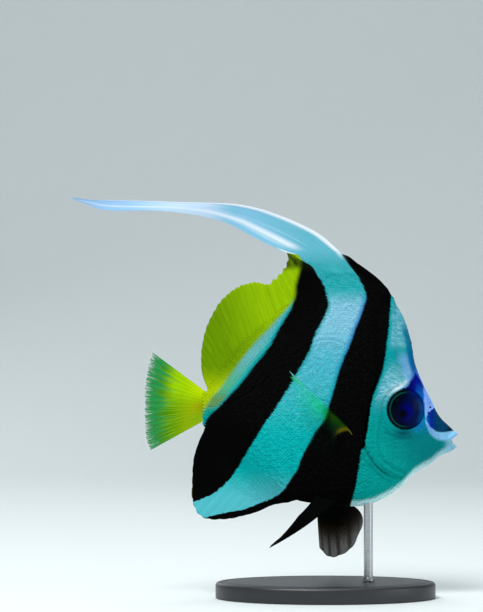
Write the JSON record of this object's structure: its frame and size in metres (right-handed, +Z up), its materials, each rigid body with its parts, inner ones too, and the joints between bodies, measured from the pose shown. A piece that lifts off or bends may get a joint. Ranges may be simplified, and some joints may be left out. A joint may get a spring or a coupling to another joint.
{
  "type": "pennant coralfish",
  "caption": "Still life-size model of a pennant coralfish with a long trailing dorsal pennant, banded body and spread fins, on a rod and oval base.",
  "frame": {"origin": "on the floor, under the middle of the whole model's box", "axes": "+X the way the fish faces, +Y out of its left flank, +Z up"},
  "size_m": [0.1546, 0.058, 0.1603],
  "materials": {
    "skin": "scaled skin in sea blue, pale and black bands, satin",
    "eye": "wet dark eye, high gloss",
    "fin_dark": "black fin membrane over fine rays",
    "fin_yellow": "yellow-green fin membrane over fine rays",
    "fin_clear": "thin yellowish fin membrane",
    "pennant": "silky bluish white filament",
    "stand_base": "satin black paint",
    "stand_rod": "finely brushed"
  },
  "bodies": {
    "root": {"head": "skin", "torso": "skin", "tail_base": "skin", "eye_right": "eye", "eye_left": "eye", "spinous_dorsal_fin": "fin_dark", "pennant": "pennant", "soft_dorsal_fin": "fin_yellow", "anal_fin": "fin_dark", "caudal_fin": "fin_yellow", "pectoral_fin_right": "fin_clear", "pectoral_fin_left": "fin_clear", "pelvic_fin_right": "fin_dark", "pelvic_fin_left": "fin_dark", "stand_base": "stand_base", "stand_rod": "stand_rod"}
  },
  "joints": []
}
